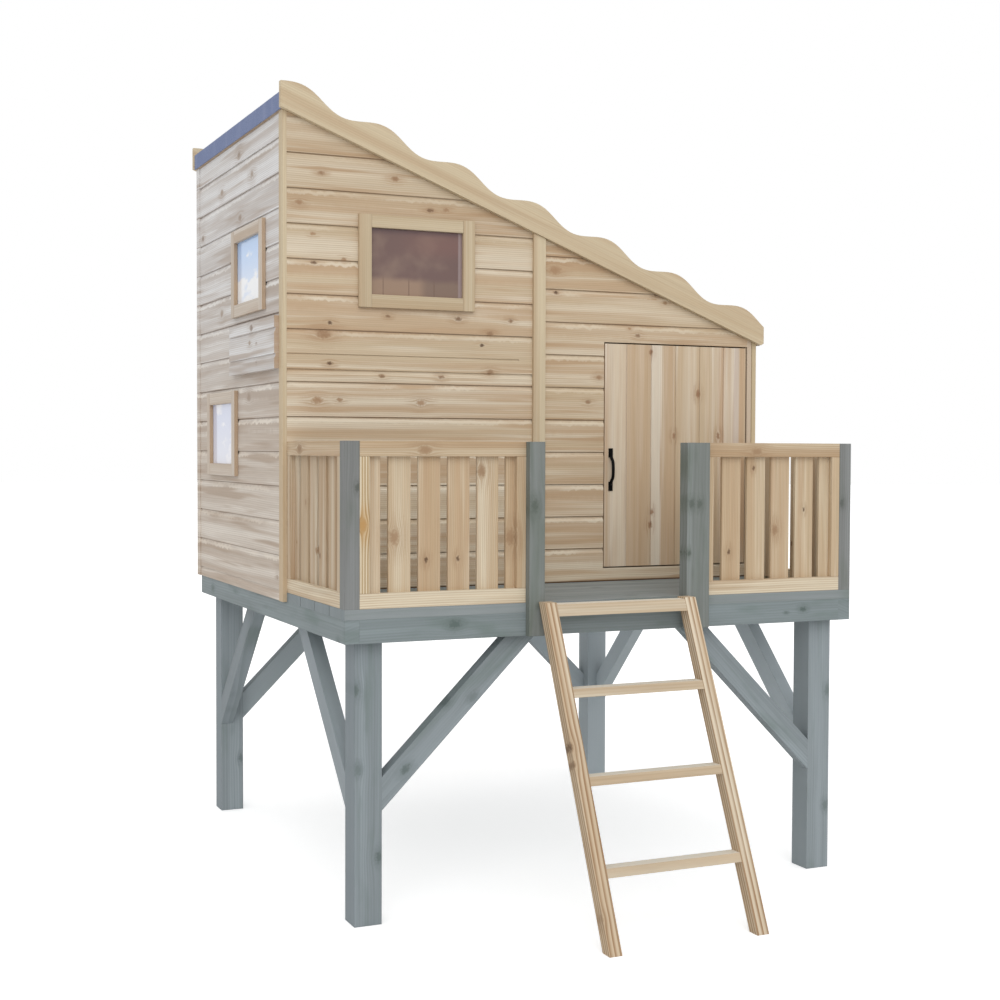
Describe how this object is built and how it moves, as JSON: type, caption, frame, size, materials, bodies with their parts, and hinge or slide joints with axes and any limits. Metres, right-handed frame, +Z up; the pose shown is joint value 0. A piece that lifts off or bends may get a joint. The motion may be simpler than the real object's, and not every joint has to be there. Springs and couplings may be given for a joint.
{
  "type": "stilt playhouse",
  "caption": "Timber playhouse on a square platform with braced legs, a railed balcony, a ladder, a hinged door and a lean-to felt roof.",
  "frame": {"origin": "on the ground, in the middle of the footprint of the whole object, ladder and roof edges included", "axes": "+Z up, +X to the right when facing the balcony, +Y from the ladder towards the back wall"},
  "size_m": [1.83, 2.29, 2.5712],
  "materials": {
    "paint": "grey wood paint, matt, over planed softwood",
    "pine": "natural planed pine with knots, matt",
    "felt": "blue-grey mineral surfaced roofing felt",
    "clear_sheet": "clear, smooth",
    "black_iron": "black, satin",
    "zinc": "zinc plated"
  },
  "bodies": {
    "house": {"leg_front_left": "paint", "leg_front_right": "paint", "leg_back_left": "paint", "leg_back_right": "paint", "beam_left": "paint", "beam_right": "paint", "beam_front": "paint", "beam_back": "paint", "joist_middle": "paint", "brace_front_left": "paint", "brace_front_right": "paint", "brace_back_left": "paint", "brace_back_right": "paint", "brace_left_front": "paint", "brace_left_back": "paint", "brace_right_front": "paint", "brace_right_back": "paint", "deck_board_1": "paint", "deck_board_2": "paint", "deck_board_3": "paint", "deck_board_4": "paint", "house_floor": "paint", "post_front_left": "paint", "post_front_right": "paint", "post_ladder_left": "paint", "post_ladder_right": "paint", "rail_panel_front_left": "pine", "rail_panel_front_right": "pine", "rail_panel_left": "pine", "rail_panel_right": "pine", "ladder_stringer_left": "pine", "ladder_stringer_right": "pine", "ladder_rung_1": "pine", "ladder_rung_2": "pine", "ladder_rung_3": "pine", "ladder_rung_4": "pine", "wall_left": "pine", "wall_right": "pine", "wall_back": "pine", "wall_front_left": "pine", "wall_front_right": "pine", "batten_front": "pine", "trim_front_left": "pine", "cover_board_left": "pine", "window_frame_front": "pine", "window_frame_left_upper": "pine", "window_frame_left_lower": "pine", "window_pane_front": "clear_sheet", "window_pane_left_upper": "clear_sheet", "window_pane_left_lower": "clear_sheet", "hinge_plate_bottom": "zinc", "hinge_plate_top": "zinc", "roof_panel": "pine", "roof_felt": "felt", "barge_board_front": "pine", "barge_board_back": "pine"},
    "door": {"door_leaf": "pine", "door_handle": "black_iron", "hinge_leaf_bottom": "zinc", "hinge_leaf_top": "zinc"}
  },
  "joints": [
    {"name": "door_swing", "type": "hinge", "parent": "house", "child": "door", "pos_m": [0.8525, -0.0305, 1.384], "axis": [0, 0, -1], "range_deg": [0, 90]}
  ]
}
